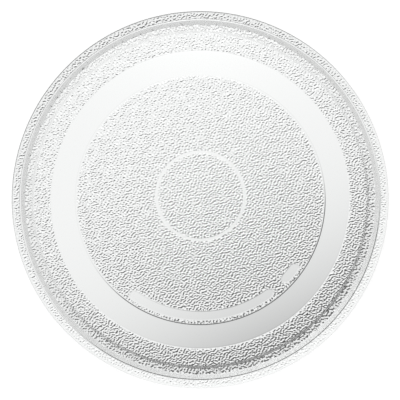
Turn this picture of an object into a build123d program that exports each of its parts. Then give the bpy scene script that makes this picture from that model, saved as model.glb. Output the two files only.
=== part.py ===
from build123d import *
import os
from math import cos, hypot, radians, sin, tan

# Turntable plate of a microwave oven, pressed in one piece of clear glass.
# Millimetres and degrees. Z is up, z = 0 is the face that runs on the rollers.

# Overall sizes
outer_diameter = 245.0
overall_height = 15.0
base_thickness = 5.0
wall_thickness = 4.8

# Rim, slope and wall, taken inwards from the outer edge
lip_width = 8.7
lip_edge_thickness = 2.4
lip_taper = 17.0
wall_angle = 58.0
slope_run = 10.9
slope_angle = 15.0

# Mould seam, a low bead under the rim where it meets the wall
seam_width = 1.0
seam_height = 0.3

# Roller track, a smooth land under the plate
floor_margin = 0.4
track_width = 15.45
track_height = 0.25
flank_angle = 22.0

# Roundings and bevels of the section
floor_round = 12.5
foot_round = 2.5
lip_inner_bevel = 0.55
lip_top_round = 0.7
lip_bottom_bevel = 0.45
underside_round = 3.0
sharp = 0.0

# Ring left by the mould's ejector under the disc, a little off centre
ring_diameter = 58.0
ring_width = 2.5
ring_height = 0.1
ring_flank = 0.4
ring_offset_x = 0.1
ring_offset_y = 2.55

# Smooth plaques under the disc, one after the other along the track, angles counted from +X
plaque_margin = 2.3
plaque_width = 6.3
plaque_height = 0.05
main_plaque_start = -124.6
main_plaque_sweep = 70.8
plaque_spacing = 11.2
small_plaque_sweep = 6.7

# Places that follow from the sizes above
outer_radius = outer_diameter / 2
lip_inner_radius = outer_radius - lip_width
foot_height = base_thickness + slope_run * tan(radians(slope_angle))
wall_run = (overall_height - foot_height) / tan(radians(wall_angle))
foot_radius = lip_inner_radius - wall_run
floor_radius = foot_radius - slope_run
track_outer_radius = floor_radius - floor_margin
track_inner_radius = track_outer_radius - track_width
flank_run = track_height / tan(radians(flank_angle))


def crossing(point_a, angle_a, point_b, angle_b):
    """Where two lines of the section meet, each given by a point and its climb."""
    climb_a = tan(radians(angle_a))
    climb_b = tan(radians(angle_b))
    r = (point_b[1] - point_a[1] + climb_a * point_a[0] - climb_b * point_b[0]) / (climb_a - climb_b)
    return (r, point_a[1] + climb_a * (r - point_a[0]))


def towards(start, end, distance):
    """The point of the section that lies a distance from one corner on the way to another."""
    share = distance / hypot(end[0] - start[0], end[1] - start[1])
    return (start[0] + share * (end[0] - start[0]), start[1] + share * (end[1] - start[1]))


# Corners of the upper side, from the middle outwards
floor_middle = (0, base_thickness)
floor_edge = (floor_radius, base_thickness)
wall_foot = (foot_radius, foot_height)
lip_inner = (lip_inner_radius, overall_height)
lip_top = (outer_radius, overall_height)
lip_bottom = (outer_radius, overall_height - lip_edge_thickness)

# Corners of the underside, from the rim inwards
wall_below = (
    foot_radius + wall_thickness * sin(radians(wall_angle)),
    foot_height - wall_thickness * cos(radians(wall_angle)),
)
lip_corner = crossing(lip_bottom, lip_taper, wall_below, wall_angle)
seam_outer = towards(lip_corner, lip_bottom, seam_width)
seam_middle = towards(lip_corner, lip_bottom, seam_width / 2)
seam_tip = (
    seam_middle[0] + seam_height * sin(radians(lip_taper)),
    seam_middle[1] - seam_height * cos(radians(lip_taper)),
)
land_outer = (track_outer_radius, 0)
under_foot = crossing(wall_below, wall_angle, land_outer, slope_angle)
land_inner = (track_inner_radius, 0)
land_inner_top = (track_inner_radius - flank_run, track_height)
disc_middle = (0, track_height)

corners = [
    (floor_edge, floor_round),
    (wall_foot, foot_round),
    (towards(lip_inner, wall_foot, lip_inner_bevel), sharp),
    (towards(lip_inner, lip_top, lip_inner_bevel), sharp),
    (lip_top, lip_top_round),
    (towards(lip_bottom, lip_top, lip_bottom_bevel), sharp),
    (towards(lip_bottom, lip_corner, lip_bottom_bevel), sharp),
    (seam_outer, sharp),
    (seam_tip, sharp),
    (lip_corner, sharp),
    (under_foot, underside_round),
    (land_outer, sharp),
    (land_inner, sharp),
    (land_inner_top, sharp),
]

# Body of the plate, the section turned about Z
with BuildPart() as plate:
    with BuildSketch(Plane.XZ):
        with BuildLine():
            path = [floor_middle] + [point for point, _ in corners] + [disc_middle]
            FilletPolyline(*path, radius=[rounding for _, rounding in corners])
            Line(disc_middle, floor_middle)
        make_face()
    revolve(axis=Axis.Z)

    # Ejector ring
    ring_middle = (ring_offset_x, ring_offset_y, track_height)
    ring_inner = (ring_diameter - ring_width) / 2
    ring_outer = (ring_diameter + ring_width) / 2
    with BuildSketch(Plane(origin=ring_middle, x_dir=(1, 0, 0), z_dir=(0, -1, 0))):
        with BuildLine():
            Polyline(
                (ring_inner, 0),
                (ring_inner + ring_flank, -ring_height),
                (ring_outer - ring_flank, -ring_height),
                (ring_outer, 0),
                close=True,
            )
        make_face()
    revolve(axis=Axis(ring_middle, (0, 0, 1)))

    # Plaques
    plaque_radius = track_inner_radius - flank_run - plaque_margin - plaque_width / 2
    small_plaque_start = main_plaque_start + main_plaque_sweep + plaque_spacing
    for start, sweep in [
        (main_plaque_start, main_plaque_sweep),
        (small_plaque_start, small_plaque_sweep),
    ]:
        middle_line = Edge.make_circle(plaque_radius, start_angle=start, end_angle=start + sweep)
        with BuildSketch(Plane.XY.offset(track_height)):
            SlotArc(middle_line, plaque_width)
        extrude(amount=-plaque_height)

os.makedirs("parts", exist_ok=True)
export_step(plate.part, "parts/turntable_plate.step")

print("track", 2 * track_inner_radius, "to", 2 * track_outer_radius)
print("wall foot", wall_foot, "lip corner", lip_corner, "under foot", under_foot)
print("volume", plate.part.volume)
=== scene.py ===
import math

import bpy
import numpy as np
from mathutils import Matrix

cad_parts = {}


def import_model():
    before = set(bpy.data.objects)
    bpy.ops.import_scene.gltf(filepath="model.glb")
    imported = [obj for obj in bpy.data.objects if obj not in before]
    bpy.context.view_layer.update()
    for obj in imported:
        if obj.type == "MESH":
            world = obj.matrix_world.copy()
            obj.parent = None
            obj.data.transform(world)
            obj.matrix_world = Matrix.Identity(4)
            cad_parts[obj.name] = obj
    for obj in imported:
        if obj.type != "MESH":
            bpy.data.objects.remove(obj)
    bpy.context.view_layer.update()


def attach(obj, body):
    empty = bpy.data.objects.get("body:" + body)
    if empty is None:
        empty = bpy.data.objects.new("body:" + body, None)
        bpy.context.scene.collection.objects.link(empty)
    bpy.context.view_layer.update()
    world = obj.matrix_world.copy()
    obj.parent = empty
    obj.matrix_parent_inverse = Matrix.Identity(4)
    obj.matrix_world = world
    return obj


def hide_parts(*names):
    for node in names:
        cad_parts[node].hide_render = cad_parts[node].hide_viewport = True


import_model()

MM = 0.001

# Section of the plate in millimetres, the same as the solid's
OUTER_RADIUS = 122.5
HEIGHT = 15.0
BASE = 5.0
WALL = 4.8
LIP_WIDTH = 8.7
LIP_EDGE = 2.4
LIP_TAPER = math.radians(17.0)
WALL_ANGLE = math.radians(58.0)
SLOPE_RUN = 10.9
SLOPE_ANGLE = math.radians(15.0)
FLOOR_MARGIN = 0.4
TRACK_WIDTH = 15.45
TRACK_HEIGHT = 0.25
FLANK_ANGLE = math.radians(22.0)
SEAM_WIDTH = 1.0
SEAM_HEIGHT = 0.3

# Roundings of the section. Those of the rim's inner and lower edges, the seam, the land and the flank
# are finer than the solid's, which has bevels or sharp corners there
FLOOR_ROUND = 12.5
FOOT_ROUND = 2.5
LIP_INNER_ROUND = 1.0
LIP_TOP_ROUND = 0.7
LIP_BOTTOM_ROUND = 0.6
SEAM_ROUND = 0.1
UNDERSIDE_ROUND = 3.0
LAND_ROUND = 3.0
FLANK_ROUND = 0.2

# Ejector ring and plaques under the disc
RING_RADIUS = 29.0
RING_HALF = 1.25
RING_HEIGHT = 0.1
RING_FLANK = 0.4
RING_CENTRE = np.array((0.1, 2.55))
RING_ZONE = 34.0
PLAQUE_MARGIN = 2.3
PLAQUE_WIDTH = 6.3
PLAQUE_HEIGHT = 0.05
PLAQUE_FLANK = 0.5
PLAQUES = [(-124.6, -53.8), (-42.6, -35.9)]

# Pebbled texture of the underside: its height, wave lengths and number of waves.
# The pebbles are in the mesh, the finer grain between them is in the material
PEBBLE_RMS = 0.03
PEBBLE_LENGTHS = (2.6, 4.8)
PEBBLE_WAVES = 96
GRAIN_HEIGHT = 0.145
GRAIN_SOFT = 0.75
GRAIN_LENGTHS = (1.2, 2.35)
GRAIN_WAVES = 32

# Where the texture starts, how far it takes to reach full height, and its share under the rim
RING_OVERLAP = 0.3
RING_FADE = 0.5
PLAQUE_FADE = 1.2
DISC_FADE = 1.6
TRACK_FADE = 1.3
SEAM_CLEAR = 0.4
SEAM_FADE = 0.7
EDGE_FADE = 1.0
LIP_SHARE = 0.7

# Mesh spacing on textured and on smooth faces, and the turn from ring to ring on a rounding
FINE = 0.83
COARSE = 3.6
ROW = FINE * math.sqrt(3) / 2
SMOOTH_RUN = 22.0
DISC_EDGE_ROW = 0.5
LEAST_POINTS = 6
TURN_STEP = math.radians(12.0)
SLOPE_STEP = 0.02

# Light that the glass shows from below, by slant from straight down: white in the middle, dark past
# an edge on one side, a lamp's bright patch on the other, and far out a level that is lower on the
# dark side and rises towards the horizon. The sky is the even level above
DARK_SIDE = math.radians(-66.0)
WHITE = 0.948
EDGE_DROP = 1.6
EDGE_SLANT = 0.137
EDGE_SOFT = 0.07
DARKEST = 0.02
LAMP_LEVEL = 0.34
LAMP_PLACE = (0.0, 0.2)
LAMP_WIDTH = 0.09
HORIZON = 0.62
HORIZON_SLANT = 0.45
RISE = 0.32
LEAN = 0.66
LEAN_SLANT = 0.6
LEAST_DOWN = 0.02
SKY = 0.69

# Glass: its tint and index, and smears on its surface
TINT = (0.988, 0.998, 0.993, 1)
INDEX = 1.5
SMEAR_SCALE = 22.0
SMEAR_ROUGHNESS = 0.06

# Floor, softbox and camera, in metres
FLOOR_SIZE = 8.0
FLOOR_DROP = 0.0002
FLOOR_COLOUR = (0.88, 0.88, 0.88, 1)
FLOOR_GLOW = (0.47, 0.47, 0.47, 1)
FLOOR_ROUGHNESS = 0.9
FLOOR_SHINE = 0.1
LAMP_SIZE = 2.0
LAMP_POWER = 8.0
LAMP_STAND = (-1.1, 1.9, 1.5)
CAMERA_HEIGHT = 1.0
NEAREST_VIEW = 0.01
SENSOR = 36.0
PIXELS = 400
PIXEL_SIZE = 0.64963 * MM
CAMERA_SHIFT = (-0.16, -0.43)

# How often light may bounce inside the glass, and be mirrored there
BOUNCES = 32
MIRROR_BOUNCES = 24

rng = np.random.default_rng(517)


def crossing(a, angle_a, b, angle_b):
    """Where two lines of the section meet, each given by a point and its climb."""
    climb_a = math.tan(angle_a)
    climb_b = math.tan(angle_b)
    r = (b[1] - a[1] + climb_a * a[0] - climb_b * b[0]) / (climb_a - climb_b)
    return (r, a[1] + climb_a * (r - a[0]))


lip_inner = OUTER_RADIUS - LIP_WIDTH
foot_height = BASE + SLOPE_RUN * math.tan(SLOPE_ANGLE)
foot = lip_inner - (HEIGHT - foot_height) / math.tan(WALL_ANGLE)
floor_edge = foot - SLOPE_RUN
track_outer = floor_edge - FLOOR_MARGIN
track_inner = track_outer - TRACK_WIDTH
disc_radius = track_inner - TRACK_HEIGHT / math.tan(FLANK_ANGLE)
wall_below = (foot + WALL * math.sin(WALL_ANGLE), foot_height - WALL * math.cos(WALL_ANGLE))
under_foot = crossing(wall_below, WALL_ANGLE, (track_outer, 0.0), SLOPE_ANGLE)
lip_bottom = (OUTER_RADIUS, HEIGHT - LIP_EDGE)
lip_corner = crossing(lip_bottom, LIP_TAPER, wall_below, WALL_ANGLE)
along_lip = np.array((math.cos(LIP_TAPER), math.sin(LIP_TAPER)))
out_of_lip = np.array((math.sin(LIP_TAPER), -math.cos(LIP_TAPER)))
seam_outer = tuple(lip_corner + SEAM_WIDTH * along_lip)
seam_tip = tuple(lip_corner + SEAM_WIDTH / 2 * along_lip + SEAM_HEIGHT * out_of_lip)
plaque_radius = disc_radius - PLAQUE_MARGIN - PLAQUE_WIDTH / 2

# Corners of the section from the middle of the floor round to the middle of the disc:
# place, rounding, whether the run that leads to it is textured
SECTION = [
    ((0.0, BASE), 0.0, False),
    ((floor_edge, BASE), FLOOR_ROUND, False),
    ((foot, foot_height), FOOT_ROUND, False),
    ((lip_inner, HEIGHT), LIP_INNER_ROUND, False),
    ((OUTER_RADIUS, HEIGHT), LIP_TOP_ROUND, False),
    (lip_bottom, LIP_BOTTOM_ROUND, False),
    (seam_outer, SEAM_ROUND, True),
    (seam_tip, SEAM_ROUND, False),
    (lip_corner, SEAM_ROUND, False),
    (under_foot, UNDERSIDE_ROUND, True),
    ((track_outer, 0.0), LAND_ROUND, True),
    ((track_inner, 0.0), FLANK_ROUND, False),
    ((disc_radius, TRACK_HEIGHT), FLANK_ROUND, False),
    ((0.0, TRACK_HEIGHT), 0.0, True),
]
# The corners after this one are on the underside
LAST_ABOVE = 5


def smooth(x):
    """Soft step from 0 to 1."""
    x = np.clip(x, 0.0, 1.0)
    return x * x * (3 - 2 * x)


def unit(v):
    return v / np.hypot(*v)


def section_rings():
    """Rings of the turned part from the floor, over the rim, to the edge of the disc.
    Each is radius, height, tangent of the section, spacing round the ring and whether it lies below."""
    places = [np.array(place) for place, _, _ in SECTION]
    rings = []
    leave = places[0]
    for i in range(1, len(SECTION) - 1):
        _, rounding, pebbled = SECTION[i]
        below = i > LAST_ABOVE
        corner = places[i]
        into = unit(corner - places[i - 1])
        out = unit(places[i + 1] - corner)
        turn = math.atan2(into[0] * out[1] - into[1] * out[0], into @ out)
        reach = rounding * math.tan(abs(turn) / 2)
        arrive = corner - into * reach
        length = np.hypot(*(arrive - leave))
        around = FINE if below else COARSE
        stops = max(1, round(length / (ROW if pebbled else SMOOTH_RUN)))
        for k in range(1, stops):
            rings.append((*(leave + into * length * k / stops), into, around, below))
        count = max(2, math.ceil(abs(turn) / TURN_STEP))
        if pebbled:
            count = max(count, round(rounding * abs(turn) / ROW))
        side = math.copysign(1.0, turn)
        centre = arrive + side * rounding * np.array((-into[1], into[0]))
        for k in range(count + 1):
            ca = math.cos(turn * k / count)
            sa = math.sin(turn * k / count)
            tangent = np.array((into[0] * ca - into[1] * sa, into[0] * sa + into[1] * ca))
            point = centre + side * rounding * np.array((tangent[1], -tangent[0]))
            rings.append((*point, tangent, around, below))
        leave = corner + out * reach
    return rings


def disc_radii():
    """Rings of the disc's underside from its edge inwards, set on the edges of the ring and plaques."""
    marks = [disc_radius - DISC_EDGE_ROW]
    for edge in (plaque_radius + PLAQUE_WIDTH / 2, plaque_radius - PLAQUE_WIDTH / 2 + PLAQUE_FLANK):
        marks += [edge, edge - PLAQUE_FLANK / 2, edge - PLAQUE_FLANK]
    for edge in (RING_RADIUS + RING_HALF, RING_RADIUS - RING_HALF + RING_FLANK):
        marks += [edge, edge - RING_FLANK / 2, edge - RING_FLANK]
    radii = []
    for outer, inner in zip(marks, marks[1:] + [0.0]):
        count = max(1, round((outer - inner) / ROW))
        radii += [outer + (inner - outer) * k / count for k in range(count)]
    return radii


def waves(lengths, count):
    """Waves of similar length in every direction: x and y parts of the wave number, and phase."""
    number = 2 * math.pi / rng.uniform(*lengths, count)
    way = math.pi * (np.arange(count) + rng.uniform(size=count)) / count
    phase = rng.uniform(0, 2 * math.pi, count)
    return np.column_stack((number * np.cos(way), number * np.sin(way), phase))


PEBBLES = waves(PEBBLE_LENGTHS, PEBBLE_WAVES)
GRAIN = waves(GRAIN_LENGTHS, GRAIN_WAVES)


def pebbles(x, y):
    """Wormy random relief of unit spread."""
    total = np.zeros_like(x)
    for kx, ky, phase in PEBBLES:
        total += np.sin(kx * x + ky * y + phase)
    return total / math.sqrt(PEBBLE_WAVES / 2)


def ring_distance(x, y):
    """Distance outside the ejector ring, negative inside it."""
    return np.abs(np.hypot(x - RING_CENTRE[0], y - RING_CENTRE[1]) - RING_RADIUS) - RING_HALF


def plaque_distance(x, y):
    """Distance outside the plaques, negative inside them."""
    angle = np.degrees(np.arctan2(y, x))
    best = np.full_like(x, np.inf)
    for start, end in PLAQUES:
        near = np.radians(np.clip(angle, start, end))
        away = np.hypot(x - plaque_radius * np.cos(near), y - plaque_radius * np.sin(near))
        best = np.minimum(best, away - PLAQUE_WIDTH / 2)
    return best


def textured(x, y, below):
    """Share of the texture: none above, on the track, the ring, the plaques and the sharp corners."""
    radius = np.hypot(x, y)
    disc = smooth((ring_distance(x, y) + RING_OVERLAP) / RING_FADE)
    disc = disc * smooth(plaque_distance(x, y) / PLAQUE_FADE)
    disc = disc * smooth((disc_radius - radius) / DISC_FADE)
    rim = smooth((radius - track_outer) / TRACK_FADE)
    rim = rim * smooth((np.abs(radius - lip_corner[0]) - SEAM_CLEAR) / SEAM_FADE)
    rim = rim * smooth((OUTER_RADIUS - LIP_BOTTOM_ROUND - radius) / EDGE_FADE)
    rim = rim * np.where(radius > lip_corner[0], LIP_SHARE, 1.0)
    return np.where(below, np.where(radius < disc_radius, disc, rim), 0.0)


def lift(x, y, below):
    """How far the surface stands out of the plain section at these places."""
    raised = RING_HEIGHT * smooth(-ring_distance(x, y) / RING_FLANK)
    raised = raised + PLAQUE_HEIGHT * smooth(-plaque_distance(x, y) / PLAQUE_FLANK)
    raised = np.where(below & (np.hypot(x, y) < disc_radius), raised, 0.0)
    return raised + PEBBLE_RMS * textured(x, y, below) * pebbles(x, y)


def plate_rings():
    """All rings of the plate, with their centres: those of the disc close in on the ejector ring's."""
    inward = np.array((-1.0, 0.0))
    rings = [(0.0, BASE, -inward, COARSE, False, (0.0, 0.0))]
    rings += [(*ring, (0.0, 0.0)) for ring in section_rings()]
    for radius in disc_radii() + [0.0]:
        shift = 1.0 - smooth((radius - RING_ZONE) / RING_ZONE)
        rings.append((radius, TRACK_HEIGHT, inward, FINE, True, RING_CENTRE * shift))
    return rings


def zip_rings(a0, angle_a, b0, angle_b):
    """Triangles between two rings of points, each given by its first index and its angles."""
    na = len(angle_a)
    nb = len(angle_b)
    if na == 1:
        return [(a0, b0 + j, b0 + (j + 1) % nb) for j in range(nb)]
    if nb == 1:
        return [(a0 + j, b0, a0 + (j + 1) % na) for j in range(na)]
    turn = 2 * math.pi
    first = int(np.argmin(np.abs((angle_b - angle_a[0] + math.pi) % turn - math.pi)))
    angle_b = np.unwrap(np.roll(angle_b, -first))
    angle_b += turn * round((angle_a[0] - angle_b[0]) / turn)
    angle_a = np.append(angle_a, angle_a[0] + turn)
    angle_b = np.append(angle_b, angle_b[0] + turn)
    faces = []
    i = 0
    j = 0
    while i < na or j < nb:
        on_a = a0 + i % na
        on_b = b0 + (first + j) % nb
        if j >= nb or (i < na and angle_a[i + 1] <= angle_b[j + 1]):
            faces.append((on_a, on_b, a0 + (i + 1) % na))
            i += 1
        else:
            faces.append((on_a, on_b, b0 + (first + j + 1) % nb))
            j += 1
    return faces


def build_plate():
    """The plate as one closed mesh with its own normals, and the texture's share at each point."""
    columns = []
    angles = []
    starts = []
    total = 0
    for radius, height, tangent, around, below, centre in plate_rings():
        count = 1 if radius == 0 else max(LEAST_POINTS, round(2 * math.pi * radius / around))
        angle = 2 * math.pi * (np.arange(count) + rng.uniform()) / count
        one = np.ones(count)
        columns.append(np.column_stack((
            centre[0] + radius * np.cos(angle), centre[1] + radius * np.sin(angle), height * one,
            tangent[0] * one, tangent[1] * one, angle, below * one,
        )))
        angles.append(angle)
        starts.append(total)
        total += count
    x, y, z, tangent_r, tangent_z, angle, below = np.vstack(columns).T
    below = below > 0.5
    ca = np.cos(angle)
    sa = np.sin(angle)
    normal = np.column_stack((-tangent_z * ca, -tangent_z * sa, tangent_r))
    along = np.column_stack((tangent_r * ca, tangent_r * sa, tangent_z))
    around = np.column_stack((-sa, ca, np.zeros_like(ca)))
    slope_x = (lift(x + SLOPE_STEP, y, below) - lift(x - SLOPE_STEP, y, below)) / (2 * SLOPE_STEP)
    slope_y = (lift(x, y + SLOPE_STEP, below) - lift(x, y - SLOPE_STEP, below)) / (2 * SLOPE_STEP)
    outward = (slope_x * ca + slope_y * sa) * tangent_r
    sideways = slope_y * ca - slope_x * sa
    points = np.column_stack((x, y, z)) + normal * lift(x, y, below)[:, None]
    normal = normal - along * outward[:, None] - around * sideways[:, None]
    normal /= np.linalg.norm(normal, axis=1)[:, None]

    faces = []
    for k in range(len(starts) - 1):
        faces += zip_rings(starts[k], angles[k], starts[k + 1], angles[k + 1])
    mesh = bpy.data.meshes.new("plate")
    mesh.from_pydata((points * MM).tolist(), [], faces)
    mesh.polygons.foreach_set("use_smooth", [True] * len(mesh.polygons))
    share = mesh.attributes.new("pebbled", "FLOAT", "POINT")
    share.data.foreach_set("value", textured(x, y, below))
    mesh.update()
    mesh.normals_split_custom_set_from_vertices(normal.tolist())
    plate = bpy.data.objects.new("plate", mesh)
    bpy.context.scene.collection.objects.link(plate)
    print("plate triangles", len(mesh.polygons))
    return plate


class Value:
    """A number that a node tree works out, with the usual arithmetic."""

    def __init__(self, tree, socket):
        self.tree = tree
        self.socket = socket

    def math(self, operation, *others):
        node = self.tree.nodes.new("ShaderNodeMath")
        node.operation = operation
        for place, value in zip(node.inputs, (self, *others)):
            if isinstance(value, Value):
                self.tree.links.new(value.socket, place)
            else:
                place.default_value = value
        return Value(self.tree, node.outputs[0])

    def __add__(self, other):
        return self.math("ADD", other)

    def __sub__(self, other):
        return self.math("SUBTRACT", other)

    def __rsub__(self, other):
        return self * -1.0 + other

    def __mul__(self, other):
        return self.math("MULTIPLY", other)

    def __truediv__(self, other):
        return self.math("DIVIDE", other)


def grain_height(tree, place):
    """Even-tempered wormy grain: a sum of waves, levelled by its own strength."""
    nodes = tree.nodes
    links = tree.links
    total = None
    for kx, ky, phase in GRAIN:
        along = nodes.new("ShaderNodeVectorMath")
        along.operation = "DOT_PRODUCT"
        along.inputs[1].default_value = (kx / MM, ky / MM, 0)
        links.new(place, along.inputs[0])
        turn = Value(tree, along.outputs["Value"]) + phase
        cosine = turn.math("COSINE")
        sine = turn.math("SINE")
        wave = nodes.new("ShaderNodeCombineXYZ")
        for socket, part in zip(wave.inputs, (cosine, cosine, sine)):
            links.new(part.socket, socket)
        joined = nodes.new("ShaderNodeVectorMath")
        joined.operation = "MULTIPLY_ADD"
        joined.inputs[1].default_value = (*unit(np.array((kx, ky))), 1)
        links.new(wave.outputs[0], joined.inputs[0])
        if total:
            links.new(total, joined.inputs[2])
        total = joined.outputs[0]
    strength = nodes.new("ShaderNodeVectorMath")
    strength.operation = "LENGTH"
    links.new(total, strength.inputs[0])
    parts = nodes.new("ShaderNodeSeparateXYZ")
    links.new(total, parts.inputs[0])
    return Value(tree, parts.outputs["Z"]) / (Value(tree, strength.outputs["Value"]) + GRAIN_SOFT)


def glass():
    """Clear glass, faintly smeared, with fine grain where the mesh is pebbled."""
    material = bpy.data.materials.new("clear_glass")
    material.use_nodes = True
    tree = material.node_tree
    nodes = tree.nodes
    links = tree.links
    shader = nodes["Principled BSDF"]
    shader.inputs["Base Color"].default_value = TINT
    shader.inputs["IOR"].default_value = INDEX
    shader.inputs["Transmission Weight"].default_value = 1.0

    place = nodes.new("ShaderNodeTexCoord").outputs["Object"]
    smears = nodes.new("ShaderNodeTexNoise")
    smears.inputs["Scale"].default_value = SMEAR_SCALE
    links.new(place, smears.inputs["Vector"])
    roughness = Value(tree, smears.outputs["Fac"]) * SMEAR_ROUGHNESS
    links.new(roughness.socket, shader.inputs["Roughness"])

    share = nodes.new("ShaderNodeAttribute")
    share.attribute_name = "pebbled"
    height = grain_height(tree, place) * Value(tree, share.outputs["Fac"])
    bump = nodes.new("ShaderNodeBump")
    bump.inputs["Strength"].default_value = 1.0
    bump.inputs["Distance"].default_value = GRAIN_HEIGHT * MM
    links.new(height.socket, bump.inputs["Height"])
    links.new(bump.outputs[0], shader.inputs["Normal"])
    return material


def world():
    """White studio. What the glass shows from below is worked out from the slant of the view."""
    studio = bpy.data.worlds.new("studio")
    bpy.context.scene.world = studio
    studio.use_nodes = True
    tree = studio.node_tree
    nodes = tree.nodes
    links = tree.links

    split = nodes.new("ShaderNodeSeparateXYZ")
    links.new(nodes.new("ShaderNodeTexCoord").outputs["Generated"], split.inputs[0])
    x, y, z = (Value(tree, socket) for socket in split.outputs)
    down = (z * -1.0).math("MAXIMUM", LEAST_DOWN)
    east = x / down
    north = y / down

    def patch(place, width):
        """One at a place, fading out round it."""
        a = (east - place[0]) / width
        b = (north - place[1]) / width
        return ((a * a + b * b) * -1.0).math("EXPONENT")

    across = east * math.cos(DARK_SIDE) + north * math.sin(DARK_SIDE)
    past_edge = ((across - EDGE_SLANT) / EDGE_SOFT).math("TANH") * 0.5 + 0.5
    near = (WHITE - past_edge * EDGE_DROP).math("MAXIMUM", DARKEST)
    flat = 1.0 - z.math("ABSOLUTE")
    far = flat * flat * RISE + HORIZON - across * patch((0.0, 0.0), LEAN_SLANT) * LEAN
    spread = (east * east + north * north) / HORIZON_SLANT ** 2
    below = (near - far) * (spread * spread * -1.0).math("EXPONENT") + far
    below = below + patch(LAMP_PLACE, LAMP_WIDTH) * LAMP_LEVEL
    level = (SKY - below) * z.math("GREATER_THAN", 0.0) + below
    path = nodes.new("ShaderNodeLightPath")
    level = (1.0 - level) * Value(tree, path.outputs["Is Camera Ray"]) + level

    background = nodes["Background"]
    background.inputs["Color"].default_value = (1, 1, 1, 1)
    links.new(level.socket, background.inputs["Strength"])


def table():
    """White table under the plate. Rays through the glass do not see it, they see the studio light."""
    bpy.ops.mesh.primitive_plane_add(size=FLOOR_SIZE, location=(0, 0, -FLOOR_DROP))
    floor = bpy.context.object
    floor.name = "floor"
    material = bpy.data.materials.new("white_table")
    material.use_nodes = True
    nodes = material.node_tree.nodes
    shader = nodes["Principled BSDF"]
    shader.inputs["Base Color"].default_value = FLOOR_COLOUR
    shader.inputs["Roughness"].default_value = FLOOR_ROUGHNESS
    shader.inputs["Specular IOR Level"].default_value = FLOOR_SHINE
    shader.inputs["Emission Color"].default_value = FLOOR_GLOW
    path = nodes.new("ShaderNodeLightPath")
    material.node_tree.links.new(path.outputs["Is Camera Ray"], shader.inputs["Emission Strength"])
    floor.data.materials.append(material)
    floor.visible_transmission = False


def softbox():
    """One large soft lamp, behind the plate and out of its mirrored view."""
    data = bpy.data.lights.new("softbox", "AREA")
    data.shape = "SQUARE"
    data.size = LAMP_SIZE
    data.energy = LAMP_POWER
    lamp = bpy.data.objects.new("softbox", data)
    lamp.location = LAMP_STAND
    lamp.rotation_euler = (-lamp.location).to_track_quat("-Z", "Y").to_euler()
    bpy.context.scene.collection.objects.link(lamp)


def camera():
    """Straight above the plate, with the lens that gives the picture's scale at the rim."""
    data = bpy.data.cameras.new("camera")
    data.sensor_width = SENSOR
    data.lens = SENSOR * CAMERA_HEIGHT / (PIXELS * PIXEL_SIZE)
    data.clip_start = NEAREST_VIEW
    viewer = bpy.data.objects.new("camera", data)
    east, north = (shift * PIXEL_SIZE for shift in CAMERA_SHIFT)
    viewer.location = (east, north, HEIGHT * MM + CAMERA_HEIGHT)
    bpy.context.scene.collection.objects.link(viewer)
    bpy.context.scene.camera = viewer


scene = bpy.context.scene
scene.view_settings.view_transform = "Standard"
scene.cycles.max_bounces = BOUNCES
scene.cycles.transmission_bounces = BOUNCES
scene.cycles.glossy_bounces = MIRROR_BOUNCES

plate = build_plate()
plate.data.materials.append(glass())
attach(plate, "root")
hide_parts("turntable_plate")
world()
table()
softbox()
camera()
